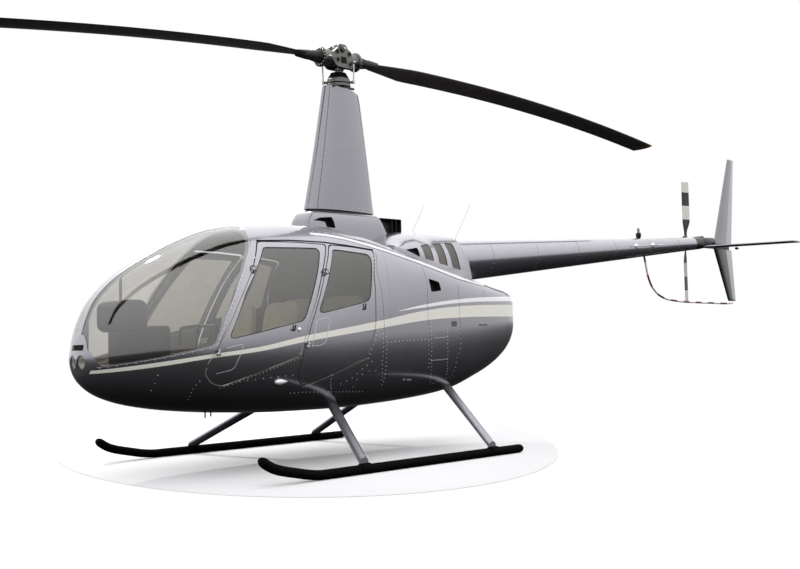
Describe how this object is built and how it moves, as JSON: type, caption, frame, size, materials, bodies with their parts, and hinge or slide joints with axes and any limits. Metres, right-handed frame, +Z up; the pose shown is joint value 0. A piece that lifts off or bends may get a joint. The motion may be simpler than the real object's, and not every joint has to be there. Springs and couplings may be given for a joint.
{
  "type": "light five-seat helicopter on skids",
  "caption": "Light passenger helicopter with a teetering main rotor on a tall mast, hinged cabin doors, a tail boom with tail rotor and fins, and skid landing gear.",
  "frame": {"origin": "on the floor under the middle of the whole machine, halfway from the fore blade's tip to the upper fin's tail", "axes": "+X to the nose, +Y to port, +Z up"},
  "size_m": [11.739, 2.37, 3.53],
  "materials": {
    "body_paint": "charcoal metallic gloss",
    "glazing": "grey-tinted acrylic",
    "black_trim": "satin black",
    "cabin_leather": "cream, stitched",
    "bare_metal": "satin",
    "blade_paint": "dark matt, yellow tips",
    "white_enamel": "gloss white",
    "skid_black": "satin black"
  },
  "bodies": {
    "airframe": {"cabin_tub": "body_paint", "cabin_roof": "body_paint", "aft_body": "body_paint", "engine_cowling": "body_paint", "mast_collar": "black_trim", "mast_fairing": "body_paint", "windscreen_left": "glazing", "windscreen_right": "glazing", "cabin_floor": "black_trim", "rear_bulkhead": "cabin_leather", "console": "black_trim", "front_seat_box": "black_trim", "rear_seat_box": "black_trim", "front_seat_left": "cabin_leather", "front_seat_right": "cabin_leather", "rear_bench": "cabin_leather", "cyclic_stick": "black_trim", "collective_lever": "black_trim", "pedals_left": "bare_metal", "pedals_right": "bare_metal", "engine_block": "bare_metal", "engine_mount": "black_trim", "swashplate_fixed": "bare_metal", "tail_boom": "body_paint", "tail_gearbox": "body_paint", "upper_fin": "body_paint", "lower_fin": "body_paint", "horizontal_stabiliser": "body_paint", "tail_rotor_guard": "white_enamel", "beacon": "white_enamel", "skid_left": "skid_black", "skid_right": "skid_black", "front_leg_left": "bare_metal", "front_leg_right": "bare_metal", "rear_leg_left": "bare_metal", "rear_leg_right": "bare_metal", "nose_lamp_left": "bare_metal", "nose_lamp_right": "bare_metal", "aerial_front": "black_trim", "aerial_rear": "black_trim"},
    "main_rotor": {"rotor_hub": "bare_metal", "swashplate_turning": "bare_metal", "main_blade_aft": "blade_paint", "main_blade_fore": "blade_paint"},
    "tail_rotor": {"tail_rotor_hub": "bare_metal", "tail_blade_up": "blade_paint", "tail_blade_down": "blade_paint"},
    "door_front_left": {"front_door_left": "body_paint", "front_window_left": "glazing"},
    "door_front_right": {"front_door_right": "body_paint", "front_window_right": "glazing"},
    "door_rear_left": {"rear_door_left": "body_paint", "rear_window_left": "glazing"},
    "door_rear_right": {"rear_door_right": "body_paint", "rear_window_right": "glazing"}
  },
  "joints": [
    {"name": "main_rotor_spin", "type": "hinge", "parent": "airframe", "child": "main_rotor", "pos_m": [0.8405, 0, 3.4], "axis": [0, 0, -1], "continuous": true},
    {"name": "tail_rotor_spin", "type": "hinge", "parent": "airframe", "child": "tail_rotor", "pos_m": [-5.0395, -0.245, 2.125], "axis": [0, -1, 0], "continuous": true},
    {"name": "front_door_left_swing", "type": "hinge", "parent": "airframe", "child": "door_front_left", "pos_m": [2.18431, 0.62191, 1.50406], "axis": [0.4972, 0.0743, -0.8644], "range_deg": [0, 80]},
    {"name": "front_door_right_swing", "type": "hinge", "parent": "airframe", "child": "door_front_right", "pos_m": [2.18431, -0.62191, 1.50406], "axis": [-0.4972, 0.0743, 0.8644], "range_deg": [0, 80]},
    {"name": "rear_door_left_swing", "type": "hinge", "parent": "airframe", "child": "door_rear_left", "pos_m": [1.5773, 0.70785, 1.49285], "axis": [0.3871, 0.0968, -0.9169], "range_deg": [0, 80]},
    {"name": "rear_door_right_swing", "type": "hinge", "parent": "airframe", "child": "door_rear_right", "pos_m": [1.5773, -0.70785, 1.49285], "axis": [-0.3871, 0.0968, 0.9169], "range_deg": [0, 80]}
  ],
  "couplings": [
    {"joint": "tail_rotor_spin", "follows": "main_rotor_spin", "ratio": 5.95}
  ]
}
